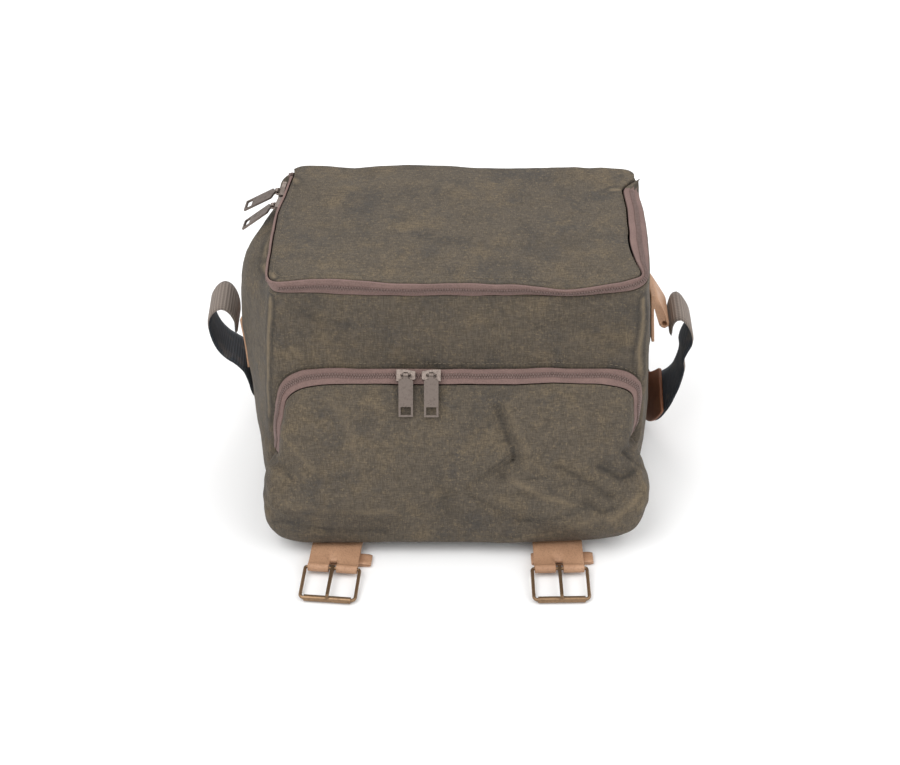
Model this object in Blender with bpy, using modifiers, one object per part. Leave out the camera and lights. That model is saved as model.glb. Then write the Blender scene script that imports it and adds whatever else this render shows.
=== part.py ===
"""Camera shoulder bag of waxed canvas, with leather, webbing and antique brass.

The bag stands upright on a floor at z = 0, its front towards -Y and +X to the right, with
the middle of its flat base at the origin. Sizes are in metres. The soft forms are lofted
shells: tables of sections, rings, folds and route points give shares of the named sizes.
"""
import math
from collections import namedtuple
from functools import lru_cache

import bmesh
import bpy
from mathutils import Matrix, Vector

# Clearances
CLEAR = 0.0003            # gap between two pieces that touch
SLIDE_CLEAR = 0.0003      # gap round a pin, bar or roller

# Padded body of the bag
BODY_WIDTH = 0.280
BODY_DEPTH = 0.145
RIM_HEIGHT = 0.204        # height of the sewn rim at the middle of the front
BODY_WALL = 0.005
BASE_ROUND = 0.014        # round between the flat base and the walls
CORNER_ROUND = 0.013      # upright corners

# Lid, a crowned panel sewn on along the back
LID_FRONT = 0.216         # height of the lid at its front edge
LID_BACK = 0.2225         # height of the lid at its back edge
LID_CROWN = 0.003
LID_THICK = 0.003
LID_FOLD = 0.0045         # height of the tallest fold of the lid
TAPE_REACH = 0.014        # how far the tape lies in over the right-hand rim

# Zip tapes
TAPE_THICK = 0.0015
TAPE_BOW = 0.0006         # how far the coil stands proud of the tape's edges

# Bellows pocket on the front
POCKET_LEFT = 0.127       # from the middle of the bag to the pocket's sides
POCKET_RIGHT = 0.139
POCKET_TOP = 0.141
POCKET_MIDDLE = 0.060     # height of the fullest part
POCKET_BULGE = 0.050
POCKET_CLOTH = 0.002
POCKET_ROUND = 0.026
POCKET_FOLD = 0.006       # depth of the deepest fold of the pocket
BODY_FOLD = 0.003         # depth of the deepest fold of the body

# Zip sliders and their pulls
SLIDER_LENGTH = 0.0135
SLIDER_WIDTH = 0.0085
SLIDER_THICK = 0.0030
BAIL_RISE = 0.0036        # height of the bail's bar over the slider
BAIL_SPAN = 0.0064
BAIL_WIRE = 0.0007        # radius of the bail's wire
EYE_LENGTH = 0.0034
EYE_WALL = 0.0008
PULL_WIDTH = 0.0104
PULL_LENGTH = 0.0310      # from the bail's bar to the far end
PULL_THICK = 0.0015
WINDOW_WIDTH = 0.0074
WINDOW_LENGTH = 0.0058
PULL_RIM = 0.0015         # metal round the window

# Buckle straps on the floor in front
STRAP_WIDTH = 0.0366
STRAP_THICK = 0.0040      # two layers of leather
STRAP_LIFT = 0.0041       # underside of the strap over the floor
STRAP_REACH = 0.0675      # from the body's front plane to the buckle's bar
FOLD_WALL = 0.0017        # leather round the buckle's bar
KEEPER_WIDTH = 0.0466
KEEPER_LENGTH = 0.0110
KEEPER_WALL = 0.0013      # leather of the flattened loop under the strap
KEEPER_PLACE = 0.0150     # from the buckle's bar to the keeper's middle
BUCKLE_WIDTH = 0.0430     # outside the wire
BUCKLE_LENGTH = 0.0330
BUCKLE_WIRE = 0.0013      # radius
BUCKLE_ROUND = 0.0030     # corners beside the roller
BAR_ROUND = 0.0016        # corners beside the leather
ROLLER_RADIUS = 0.0024
ROLLER_WALL = 0.0007
TONGUE_WIDTH = 0.0024
TONGUE_THICK = 0.0016
TONGUE_SLOT = 0.0056      # width of the slot in the folded strap
SLOT_BACK = 0.0068        # how far that slot runs back of the bar

# Shoulder strap and its leather
WEBBING_WIDTH = 0.038
WEBBING_THICK = 0.0024
SIDE_REACH = 0.185        # from the middle of the bag to the outside of the side loops
LOOP_HEIGHT = 0.139       # top of the side loops
LOOP_DEPTH = 0.020        # from the middle of the bag back to the side loops' middle
STRAP_BEHIND = 0.138      # from the middle of the bag to the strap behind it
LEATHER_THICK = 0.0024
TAB_WIDTH = 0.034
TAB_REACH = 0.160         # from the middle of the bag to the right tab's tunnel
TUNNEL_RADIUS = 0.0019
TAB_LOW = 0.40            # foot and head of the left tab, shares of the rim's height
TAB_HIGH = 0.62
PATCH_WIDTH = 0.040
PATCH_GAP = 0.0008        # between the webbing and the leather, where both twist

# Points along each part of a rounded loop
CORNER_POINTS = 4
SIDE_POINTS = 8
FACE_POINTS = 13

# Joined pieces and their colours: red, green, blue, roughness, metallic
FINISHES = {
    "canvas": (0.125, 0.105, 0.080, 0.92, 0.0),
    "zip_tape": (0.220, 0.150, 0.135, 0.75, 0.0),
    "zip_metal": (0.300, 0.225, 0.180, 0.42, 0.9),
    "tan_leather": (0.440, 0.265, 0.160, 0.62, 0.0),
    "brown_leather": (0.260, 0.105, 0.050, 0.60, 0.0),
    "brass": (0.230, 0.150, 0.090, 0.40, 0.95),
    "webbing": (0.200, 0.165, 0.130, 0.88, 0.0),
}

Section = namedtuple(
    "Section", "height left_front left_back right_front right_back front back"
               " left_bulge right_bulge front_bulge back_bulge")

# Horizontal sections of the body. Heights are shares of the rim's height above them, reaches
# are shares of half the width or depth, and bulges are shares of the width.
BODY_SECTIONS = (
    Section(0.07, -1.00, -1.00, 1.00, 1.01, -1.00, 1.00, 0.026, 0.020, 0.000, 0.010),
    Section(0.20, -1.01, -1.00, 1.00, 1.02, -1.00, 1.00, 0.040, 0.032, 0.000, 0.016),
    Section(0.35, -1.00, -1.00, 1.01, 1.02, -1.00, 1.00, 0.048, 0.030, 0.000, 0.020),
    Section(0.50, -0.99, -0.99, 1.02, 1.02, -1.00, 1.00, 0.056, 0.024, 0.000, 0.022),
    Section(0.63, -0.98, -0.98, 1.02, 1.01, -1.00, 1.00, 0.072, 0.020, 0.000, 0.020),
    Section(0.76, -0.97, -0.97, 1.01, 1.00, -1.00, 1.00, 0.078, 0.018, 0.000, 0.016),
    Section(0.87, -0.96, -0.97, 1.00, 1.00, -1.00, 1.00, 0.074, 0.016, 0.000, 0.012),
    Section(0.94, -0.95, -0.95, 0.99, 0.99, -1.00, 0.99, 0.060, 0.014, 0.000, 0.008),
    Section(0.98, -0.94, -0.91, 0.99, 0.99, -1.00, 0.97, 0.026, 0.010, 0.000, 0.005),
    Section(1.00, -0.94, -0.86, 0.99, 0.98, -1.00, 0.94, 0.004, 0.006, 0.000, 0.003),
)

# Places along a loop seen from above: 0 is the back left corner, 1 the front left, 2 the
# front right and 3 the back right. A corner takes the first fifth of its whole number.
CORNER_SHARE = 0.2
ZIP_START = 0.20
ZIP_END = 2.93
RimRow = namedtuple("RimRow", "place height reach")
RIM_ROWS = (                      # heights are shares of RIM_HEIGHT, reaches of TAPE_REACH
    RimRow(0.20, 1.030, 0.30),
    RimRow(0.45, 1.015, 0.05),
    RimRow(0.80, 1.010, 0.00),
    RimRow(1.10, 1.018, 0.00),
    RimRow(1.30, 1.004, 0.00),
    RimRow(1.60, 1.000, 0.00),
    RimRow(1.88, 1.004, 0.00),
    RimRow(2.00, 1.018, 0.06),
    RimRow(2.10, 1.034, 0.30),
    RimRow(2.20, 1.044, 0.62),
    RimRow(2.38, 1.046, 1.00),
    RimRow(3.00, 1.050, 1.00),
)

# Folds lie along a line from a start to an end. On the lid they are shares of half the width
# and half the depth, and lift is a share of LID_FOLD.
LidFold = namedtuple("LidFold", "x0 y0 x1 y1 spread lift")
LID_FOLDS = (
    LidFold(-0.88, 1.05, -0.80, 0.62, 0.012, 0.90),     # ridge at the back left corner
    LidFold(-0.99, 0.70, -0.92, 0.95, 0.011, -0.90),    # hollow outside that ridge
    LidFold(0.50, -1.02, 0.66, -1.00, 0.022, -1.00),    # the front edge droops on the right
    LidFold(-0.75, -1.00, -0.45, -1.00, 0.020, 0.55),
    LidFold(0.86, -0.98, 0.95, -0.80, 0.014, 0.60),     # the front right corner turns up
    LidFold(-0.74, 0.45, -0.70, -0.10, 0.013, -0.45),
    LidFold(-0.30, -0.50, 0.45, -0.62, 0.016, 0.25),
    LidFold(-0.20, 0.10, 0.55, 0.25, 0.020, -0.30),
)

# Folds of the body's walls. Side is 0 left, 1 front, 2 right and 3 back, along is the share
# of the way round that side, and up is a share of the rim's height.
WallFold = namedtuple("WallFold", "side along0 up0 along1 up1 spread lift")
WALL_FOLDS = (
    WallFold(0, 0.80, 0.92, 0.74, 0.25, 0.011, -0.9),
    WallFold(0, 0.55, 0.80, 0.48, 0.35, 0.014, 0.6),
    WallFold(0, 0.25, 0.85, 0.35, 0.30, 0.013, -0.8),
    WallFold(1, 0.94, 0.80, 0.97, 0.62, 0.010, -0.7),
    WallFold(1, 0.10, 0.93, 0.16, 0.72, 0.012, -0.4),
    WallFold(2, 0.20, 0.90, 0.26, 0.40, 0.012, -0.7),
    WallFold(2, 0.60, 0.80, 0.52, 0.35, 0.014, 0.5),
    WallFold(2, -0.12, 0.27, 0.02, 0.24, 0.014, -1.8),   # pinch at the front edge
    WallFold(3, 0.30, 0.75, 0.42, 0.20, 0.018, -0.6),
    WallFold(3, 0.70, 0.80, 0.62, 0.30, 0.018, -0.6),
    WallFold(3, 0.50, 0.28, 0.20, 0.16, 0.015, 0.5),
)

# Rings of the pocket from its sewn edge to the middle of its face. Reach is a share of the
# way out from the fullest point, and depth is a share of the bulge at that height. The top
# and leg columns hold where the pocket starts at the zip's tape, over its top and its legs.
PocketRing = namedtuple("PocketRing", "side_reach side_depth top_reach top_depth leg_reach leg_depth")
POCKET_RINGS = (
    PocketRing(1.000, 0.00, 0.900, 0.76, 0.955, 0.50),
    PocketRing(1.028, 0.24, 0.880, 0.84, 0.952, 0.66),
    PocketRing(1.045, 0.50, 0.855, 0.90, 0.942, 0.80),
    PocketRing(1.040, 0.76, 0.815, 0.95, 0.915, 0.91),
    PocketRing(1.006, 0.93, 0.760, 0.98, 0.865, 0.97),
    PocketRing(0.920, 0.99, 0.680, 1.00, 0.780, 1.00),
    PocketRing(0.780, 1.00, 0.570, 1.00, 0.640, 1.00),
    PocketRing(0.580, 1.00, 0.420, 1.00, 0.460, 1.00),
    PocketRing(0.340, 1.00, 0.240, 1.00, 0.260, 1.00),
)

# How full the pocket is at each height: up is a share of the way from bottom to top.
FullRow = namedtuple("FullRow", "up full")
POCKET_FULL = (
    FullRow(0.00, 0.95), FullRow(0.10, 1.00), FullRow(0.22, 1.00), FullRow(0.40, 0.93),
    FullRow(0.55, 0.79), FullRow(0.72, 0.57), FullRow(0.86, 0.37), FullRow(1.00, 0.17),
)

# Loop places of the pocket seen from the front: 0 is the top right corner, 1 the top left,
# 2 the bottom left and 3 the bottom right. The zip starts on the right side and ends on the left.
POCKET_ZIP_START = -0.27
POCKET_ZIP_END = 1.60

# Where the pocket's sewn edge is drawn in or let out, by its place round the loop.
EdgeFold = namedtuple("EdgeFold", "place spread shift")
EDGE_FOLDS = (
    EdgeFold(3.64, 0.12, -0.0070),                      # pinch under the zip's right end
    EdgeFold(3.34, 0.14, 0.0030),
    EdgeFold(1.70, 0.10, -0.0020),
)

# Folds of the pocket: shares of the half width and of the height, lift of POCKET_FOLD.
PocketFold = namedtuple("PocketFold", "x0 z0 x1 z1 spread lift")
POCKET_FOLDS = (
    PocketFold(0.23, 0.76, 0.33, 0.50, 0.012, -0.8),    # the long dent right of the middle
    PocketFold(0.33, 0.50, 0.27, 0.34, 0.013, -0.7),
    PocketFold(0.38, 0.36, 0.72, 0.24, 0.014, 0.6),     # ridge running out of the dent
    PocketFold(0.36, 0.22, 0.64, 0.14, 0.013, -0.5),
    PocketFold(-0.60, 0.21, 0.05, 0.20, 0.012, -0.4),   # crease low on the left
    PocketFold(-0.92, 0.40, -0.55, 0.40, 0.012, 0.4),   # seam to the underside
    PocketFold(-0.98, 0.52, -0.90, 0.42, 0.009, -0.9),  # bunched folds under the zip's end
    PocketFold(-1.02, 0.46, -0.96, 0.34, 0.009, 0.6),
    PocketFold(0.93, 0.50, 1.00, 0.44, 0.010, -1.0),    # pinch at the right side
    PocketFold(0.80, 0.22, 0.98, 0.34, 0.012, 0.6),
    PocketFold(0.78, 0.12, 0.94, 0.08, 0.013, -0.7),
)

# Route of the shoulder strap, from the left loop behind the bag to the right loop. Out is a
# share of SIDE_REACH and up of LOOP_HEIGHT. Back is a share of the way from the side loops'
# middle to the strap behind the bag. Turn is the angle, in degrees, of the webbing's width
# from front-to-back to upright.
RouteRow = namedtuple("RouteRow", "out back up turn")
STRAP_ROUTE = (
    RouteRow(-0.888, 0.000, 0.835, 0),
    RouteRow(-0.889, 0.000, 0.906, 0),
    RouteRow(-0.908, 0.000, 0.970, 0),
    RouteRow(-0.938, 0.000, 0.999, 0),
    RouteRow(-0.970, 0.000, 0.978, 0),
    RouteRow(-0.992, 0.000, 0.928, 0),
    RouteRow(-0.997, 0.000, 0.863, 0),
    RouteRow(-0.987, 0.000, 0.791, 0),
    RouteRow(-0.967, 0.000, 0.722, 0),
    RouteRow(-0.937, 0.000, 0.669, 0),
    RouteRow(-0.902, 0.000, 0.632, 0),
    RouteRow(-0.873, 0.004, 0.588, 2),
    RouteRow(-0.856, 0.018, 0.532, 12),
    RouteRow(-0.850, 0.051, 0.471, 28),
    RouteRow(-0.845, 0.102, 0.406, 42),
    RouteRow(-0.835, 0.178, 0.338, 54),
    RouteRow(-0.824, 0.271, 0.277, 66),
    RouteRow(-0.805, 0.381, 0.223, 78),
    RouteRow(-0.762, 0.525, 0.176, 86),
    RouteRow(-0.660, 0.720, 0.150, 90),
    RouteRow(-0.470, 0.890, 0.144, 90),
    RouteRow(-0.240, 0.975, 0.142, 90),
    RouteRow(0.000, 1.000, 0.142, 90),
    RouteRow(0.240, 0.975, 0.142, 90),
    RouteRow(0.470, 0.890, 0.142, 90),
    RouteRow(0.660, 0.740, 0.144, 90),
    RouteRow(0.775, 0.590, 0.144, 90),
    RouteRow(0.824, 0.466, 0.144, 90),
    RouteRow(0.849, 0.339, 0.144, 90),
    RouteRow(0.857, 0.209, 0.166, 67),
    RouteRow(0.876, 0.099, 0.228, 45),
    RouteRow(0.905, 0.025, 0.322, 22),
    RouteRow(0.935, 0.000, 0.417, 3),
    RouteRow(0.954, 0.000, 0.504, 0),
    RouteRow(0.962, 0.000, 0.583, 0),
    RouteRow(0.957, 0.000, 0.647, 0),
    RouteRow(0.969, 0.000, 0.706, 0),
    RouteRow(0.986, 0.000, 0.763, 0),
    RouteRow(0.978, 0.000, 0.834, 0),
    RouteRow(0.957, 0.000, 0.893, 0),
    RouteRow(0.932, 0.000, 0.927, 0),
    RouteRow(0.909, 0.000, 0.915, 0),
    RouteRow(0.898, 0.000, 0.865, 0),
    RouteRow(0.896, 0.000, 0.805, 0),
)
ROUTE_STEPS = 2                   # strips between two rows of the route
PATCH_ROWS = (29, 31)             # the rows between which the leather is sewn on

LoopPoint = namedtuple("LoopPoint", "place at out")


def rounded_loop(corners, radius, bulges, counts, corner_points):
    """A loop with four rounded corners, counterclockwise, and the way out at each point."""
    loop = []
    for side in range(4):
        before = (corners[side - 1] - corners[side]).normalized()
        after = (corners[(side + 1) % 4] - corners[side]).normalized()
        entry = corners[side] + before * radius
        leave = corners[side] + after * radius
        out_before = Vector((-before.y, before.x))
        out_after = Vector((after.y, -after.x))
        for step in range(corner_points):
            t = step / (corner_points - 1)
            at = entry * (1 - t) ** 2 + corners[side] * 2 * t * (1 - t) + leave * t ** 2
            out = out_before.lerp(out_after, t).normalized()
            loop.append(LoopPoint(side + CORNER_SHARE * t, at, out))
        after_corner = corners[(side + 1) % 4] - after * radius
        for step in range(1, counts[side] + 1):
            t = step / (counts[side] + 1)
            at = leave.lerp(after_corner, t) + out_after * bulges[side] * math.sin(math.pi * t)
            place = side + CORNER_SHARE + (1 - CORNER_SHARE) * t
            loop.append(LoopPoint(place, at, out_after))
    return loop


def table_value(rows, key, column, at):
    """The column of a table read between its rows, with the key column in rising order."""
    before = rows[0]
    for row in rows:
        if getattr(row, key) >= at:
            span = getattr(row, key) - getattr(before, key)
            share = (at - getattr(before, key)) / span if span > 0 else 1.0
            return getattr(before, column) * (1 - share) + getattr(row, column) * share
        before = row
    return getattr(rows[-1], column)


def fold_weight(point, start, end, spread):
    """How strongly a fold from start to end shows at a point, from 0 to 1."""
    run = end - start
    share = 0.0
    if run.length > 0:
        share = min(1.0, max(0.0, (point - start).dot(run) / run.length_squared))
    distance = (point - start - run * share).length
    return math.exp(-(distance / spread) ** 2)


def lid_height(x, y):
    """Height of the lid's top over a point of the plan."""
    u = 2 * x / BODY_WIDTH
    v = 2 * y / BODY_DEPTH
    height = LID_FRONT + (LID_BACK - LID_FRONT) * (v + 1) / 2
    height += LID_CROWN * max(0.0, 1 - u * u) * max(0.0, 1 - v * v)
    half = Vector((BODY_WIDTH / 2, BODY_DEPTH / 2))
    for fold in LID_FOLDS:
        start = Vector((fold.x0, fold.y0)) * half
        end = Vector((fold.x1, fold.y1)) * half
        height += LID_FOLD * fold.lift * fold_weight(Vector((x, y)), start, end, fold.spread)
    return height


def section_loop(section):
    """The outline of the body at one section, seen from above."""
    half_width = BODY_WIDTH / 2
    half_depth = BODY_DEPTH / 2
    corners = [
        Vector((section.left_back * half_width, section.back * half_depth)),
        Vector((section.left_front * half_width, section.front * half_depth)),
        Vector((section.right_front * half_width, section.front * half_depth)),
        Vector((section.right_back * half_width, section.back * half_depth)),
    ]
    bulges = [share * BODY_WIDTH for share in
              (section.left_bulge, section.front_bulge, section.right_bulge, section.back_bulge)]
    counts = (SIDE_POINTS, FACE_POINTS, SIDE_POINTS, FACE_POINTS)
    return rounded_loop(corners, CORNER_ROUND, bulges, counts, CORNER_POINTS)


def has_tape(place):
    """Whether the lid's zip runs at a place of the rim."""
    return ZIP_START <= place <= ZIP_END


def rim_height(place, at):
    """Height of the body's sewn rim, under the tape or straight under the lid."""
    if has_tape(place):
        return RIM_HEIGHT * table_value(RIM_ROWS, "place", "height", place)
    return lid_height(at.x, at.y) - LID_THICK - CLEAR


def wall_fold(place, share):
    """How far the folds move the body's wall outwards."""
    side = int(place) % 4
    length = BODY_DEPTH if side in (0, 2) else BODY_WIDTH
    along = (place - int(place) - CORNER_SHARE) / (1 - CORNER_SHARE)
    point = Vector((along * length, share * RIM_HEIGHT))
    moved = 0.0
    for fold in WALL_FOLDS:
        if fold.side == side:
            start = Vector((fold.along0 * length, fold.up0 * RIM_HEIGHT))
            end = Vector((fold.along1 * length, fold.up1 * RIM_HEIGHT))
            moved += BODY_FOLD * fold.lift * fold_weight(point, start, end, fold.spread)
    fade = min(1.0, (1 - share) / 0.05, share / 0.05)
    return moved * max(0.0, fade)


def section_at(share):
    """The section of the body at any share of its height."""
    values = [table_value(BODY_SECTIONS, "height", column, share) for column in Section._fields]
    return Section(*values)._replace(height=share)


@lru_cache(maxsize=None)
def wall_loop(share):
    """Points of the body's outside all the way round, at one share of the rim's height."""
    points = []
    rim = section_loop(BODY_SECTIONS[-1])
    for under, over in zip(section_loop(section_at(share)), rim):
        moved = wall_fold(under.place, share) if share < 1 else 0.0
        at = under.at + under.out * moved
        points.append(Vector((at.x, at.y, share * rim_height(over.place, over.at))))
    return points


def base_loop(turn):
    """A ring of the round under the body's walls, turn degrees up from the flat base."""
    inset = BASE_ROUND * (1 - math.sin(math.radians(turn)))
    height = BASE_ROUND * (1 - math.cos(math.radians(turn)))
    return [Vector((*(p.at - p.out * inset), height)) for p in section_loop(BODY_SECTIONS[0])]


def link_object(name, data, finish):
    """A named part in the bag's collection, in its finish."""
    part = bpy.data.objects.new(name, data)
    bpy.data.collections["camera_shoulder_bag"].objects.link(part)
    data.materials.append(bpy.data.materials[finish])
    return part


def add_rings(mesh, rings, order=1):
    """Quads between rings of as many points, turned over where order is -1."""
    rows = [[mesh.verts.new(point) for point in ring] for ring in rings]
    for lower, upper in zip(rows, rows[1:]):
        for i in range(len(lower)):
            j = (i + 1) % len(lower)
            mesh.faces.new((lower[i], lower[j], upper[j], upper[i])[::order])
    return rows


def add_fan(mesh, ring, middle, order=1):
    """Triangles from a ring to a point in its middle."""
    point = mesh.verts.new(middle)
    for i in range(len(ring)):
        mesh.faces.new((ring[i], ring[(i + 1) % len(ring)], point)[::order])


def add_strip(mesh, rows):
    """Quads between open rows of as many points."""
    lines = [[mesh.verts.new(point) for point in row] for row in rows]
    for lower, upper in zip(lines, lines[1:]):
        for i in range(len(lower) - 1):
            mesh.faces.new((lower[i], lower[i + 1], upper[i + 1], upper[i]))


def finish_solid(name, mesh, finish):
    """A part made from a finished surface."""
    data = bpy.data.meshes.new(name)
    mesh.to_mesh(data)
    mesh.free()
    return link_object(name, data, finish)


def finish_sheet(name, mesh, finish, thickness, even=True):
    """A part made from an open surface, given its thickness inwards."""
    part = finish_solid(name, mesh, finish)
    wall = part.modifiers.new("wall", "SOLIDIFY")
    wall.thickness = thickness
    wall.offset = -1.0
    wall.use_even_offset = even
    return part


def make_body_shell():
    """The padded body: a flat base, bulging walls and an open top."""
    mesh = bmesh.new()
    rings = [base_loop(turn) for turn in (0, 30, 60)]
    rings += [wall_loop(section.height) for section in BODY_SECTIONS]
    rows = add_rings(mesh, rings)
    mesh.faces.new(list(reversed(rows[0])))
    return finish_sheet("body_shell", mesh, "canvas", BODY_WALL)


def lid_reach(p):
    """How far the lid's edge lies in from the rim at a point of the loop."""
    if not has_tape(p.place):
        return 0.0
    return TAPE_REACH * table_value(RIM_ROWS, "place", "reach", p.place)


def make_lid_panel():
    """The crowned lid, one sheet of padded canvas."""
    mesh = bmesh.new()
    outline = [p.at - p.out * lid_reach(p) for p in section_loop(BODY_SECTIONS[-1])]
    middle = Vector((0.0, 0.0, lid_height(0.0, 0.0)))
    edges = []
    for drop, order in ((0.0, 1), (LID_THICK, -1)):
        down = Vector((0.0, 0.0, drop))
        rings = []
        for share in (1.0, 0.92, 0.76, 0.53, 0.26):
            ring = [point * share for point in outline]
            rings.append([Vector((p.x, p.y, lid_height(p.x, p.y))) - down for p in ring])
        rows = add_rings(mesh, rings, order)
        edges.append(rows[0])
        add_fan(mesh, rows[-1], middle - down, order)
    top, bottom = edges
    for i in range(len(top)):
        j = (i + 1) % len(top)
        mesh.faces.new((bottom[i], bottom[j], top[j], top[i]))
    return finish_solid("lid_panel", mesh, "canvas")


def bowed_row(start, end, lift):
    """Points from start to end across a tape, with the coil standing proud in the middle."""
    row = []
    for share in (0.0, 0.25, 0.5, 0.75, 1.0):
        row.append(start.lerp(end, share) + lift * (1 - (2 * share - 1) ** 2))
    return row


def close_end(rows, end, point, share):
    """Draw a strip's last row towards a point, so that the strip narrows to its end."""
    last = rows[end]
    narrow = [spot.lerp(point, share) for spot in last]
    rows.insert(0 if end == 0 else len(rows), narrow)


def lid_tape_rows():
    """Rows across the lid's tape, from the rim up to the lid, and one past each of its ends."""
    rows = []
    loop = section_loop(BODY_SECTIONS[-1])
    for number, p in enumerate(loop):
        runs_on = has_tape(loop[number - 1].place) or has_tape(loop[(number + 1) % len(loop)].place)
        if not has_tape(p.place) and not runs_on:
            continue
        out = Vector((p.out.x, p.out.y, 0.0))
        inner = p.at - p.out * lid_reach(p)
        rim = Vector((p.at.x, p.at.y, rim_height(p.place, p.at)))
        lid = Vector((inner.x, inner.y, lid_height(inner.x, inner.y)))
        slope = (lid - rim).normalized()
        face_out = slope.z
        face_up = -slope.dot(out)
        low = rim + Vector((0, 0, 2 * CLEAR + TAPE_THICK * face_up))
        high = lid + out * (4 * CLEAR + TAPE_THICK * face_out)
        if not has_tape(p.place):
            low += out * (2 * CLEAR + TAPE_THICK) + Vector((0, 0, LID_THICK * 0.4))
        rows.append(bowed_row(low, high, (out * face_out + Vector((0, 0, face_up))) * TAPE_BOW))
    return rows


def make_tape(name, rows):
    """A zip tape with its closed coil."""
    mesh = bmesh.new()
    add_strip(mesh, [list(column) for column in zip(*rows)])
    return finish_sheet(name, mesh, "zip_tape", TAPE_THICK, even=False)


def front_of_body(x, z):
    """The body's front face at a point: y, following its folds and rounded corners."""
    columns = []
    for number, p in enumerate(section_loop(BODY_SECTIONS[0])):
        if 1 <= p.place <= 2 + CORNER_SHARE:
            columns.append([wall_loop(section.height)[number] for section in BODY_SECTIONS])
    line = []
    for column in columns:
        over = next((i for i in range(1, len(column)) if column[i].z >= z), len(column) - 1)
        low, high = column[over - 1], column[over]
        line.append(low.lerp(high, max(0.0, (z - low.z) / (high.z - low.z))))
    for first, second in zip(line, line[1:]):
        if first.x <= x <= second.x:
            return first.lerp(second, (x - first.x) / (second.x - first.x)).y
    return line[0].y if x < line[0].x else line[-1].y


def pocket_bottom():
    """Height of the pocket's sewn edge, which keeps its cloth clear of the buckle straps."""
    widest = max(row.side_reach for row in POCKET_RINGS)
    lowest = STRAP_LIFT + STRAP_THICK + 2 * CLEAR
    return POCKET_MIDDLE - (POCKET_MIDDLE - lowest) / widest


def pocket_loop():
    """The pocket's sewn outline on the front, seen from the front: x and z."""
    bottom = pocket_bottom()
    corners = [
        Vector((POCKET_RIGHT, POCKET_TOP)),
        Vector((-POCKET_LEFT, POCKET_TOP)),
        Vector((-POCKET_LEFT * 1.065, bottom)),
        Vector((POCKET_RIGHT * 0.965, bottom)),
    ]
    bulges = (0.0, POCKET_LEFT * 0.02, 0.0, POCKET_RIGHT * 0.01)
    loop = []
    for p in rounded_loop(corners, POCKET_ROUND, bulges, (12, 7, 12, 8), 5):
        shift = sum(fold.shift * math.exp(-((p.place - fold.place) / fold.spread) ** 2)
                    for fold in EDGE_FOLDS)
        loop.append(LoopPoint(p.place, p.at + p.out * shift, p.out))
    return loop


def in_pocket_zip(place):
    """Whether the pocket's zip runs at a place of its outline."""
    return place <= POCKET_ZIP_END or place >= 4 + POCKET_ZIP_START


def pocket_depth(z):
    """How far the pocket's face stands out from the front at a height."""
    up = (z - pocket_bottom()) / (POCKET_TOP - pocket_bottom())
    return POCKET_BULGE * table_value(POCKET_FULL, "up", "full", min(1.0, max(0.0, up)))


def pocket_fold(x, z):
    """How far the folds lift the pocket's cloth."""
    size = Vector(((POCKET_LEFT + POCKET_RIGHT) / 2, POCKET_TOP))
    lifted = 0.0
    for fold in POCKET_FOLDS:
        start = Vector((fold.x0, fold.z0)) * size
        end = Vector((fold.x1, fold.z1)) * size
        lifted += POCKET_FOLD * fold.lift * fold_weight(Vector((x, z)), start, end, fold.spread)
    return lifted


def pocket_seat(p):
    """Where the pocket's sewn edge lies on the body's front: y, clear of its rounded corners."""
    inner = p.at.x - p.out.x * 2 * POCKET_CLOTH
    return min(front_of_body(p.at.x, p.at.y), front_of_body(inner, p.at.y)) - 3 * CLEAR


def pocket_point(p, reach, depth):
    """A point of the pocket's outside, by its loop point and its shares."""
    middle = Vector(((POCKET_RIGHT - POCKET_LEFT) / 2, POCKET_MIDDLE))
    flat = middle + (p.at - middle) * reach
    seat = pocket_seat(p)
    lift = pocket_fold(flat.x, flat.y) * min(1.0, depth * 1.2)
    return Vector((flat.x, seat - pocket_depth(flat.y) * depth - lift, flat.y))


def ring_shares(row, p):
    """The reach and depth of a ring at a point of the pocket's outline."""
    if not in_pocket_zip(p.place):
        return row.side_reach, row.side_depth
    over = max(0.0, p.out.y) ** 2
    reach = row.top_reach * over + row.leg_reach * (1 - over)
    return reach, row.top_depth * over + row.leg_depth * (1 - over)


def make_pocket_shell():
    """The bellows pocket: one sheet from its sewn edge over the bulging face."""
    mesh = bmesh.new()
    loop = pocket_loop()
    rings = [[pocket_point(p, *ring_shares(row, p)) for p in loop] for row in POCKET_RINGS]
    rows = add_rings(mesh, rings)
    add_fan(mesh, rows[-1], pocket_point(loop[0], 0.0, 1.0))
    return finish_sheet("pocket_shell", mesh, "canvas", POCKET_CLOTH, even=False)


def pocket_tape_rows():
    """Rows across the pocket's tape, from the front panel to the pocket's edge."""
    loop = pocket_loop()
    starts = [p for p in loop if p.place >= 4 + POCKET_ZIP_START]
    ends = [p for p in loop if p.place <= POCKET_ZIP_END]
    before = loop[loop.index(starts[0]) - 1]
    after = loop[loop.index(ends[-1]) + 1]
    rows = []
    for p in starts + ends:
        inner = pocket_point(p, *ring_shares(POCKET_RINGS[0], p))
        outer = Vector((p.at.x, pocket_seat(p), p.at.y))
        run = (outer - inner).normalized()
        out = Vector((p.out.x, 0.0, p.out.y))
        normal = (out - run * out.dot(run)).normalized()
        outer.y -= TAPE_THICK * abs(normal.y)
        inner += (outer - inner).normalized() * 3 * CLEAR
        rows.append(bowed_row(outer, inner, normal * TAPE_BOW))
    for end, p in ((0, before), (-1, after)):
        corner = pocket_point(p, 1.0, 0.0)
        corner += (rows[end][0] - corner).normalized() * 7 * CLEAR
        corner.y -= TAPE_THICK
        close_end(rows, end, corner, 0.8)
    return rows


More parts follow.
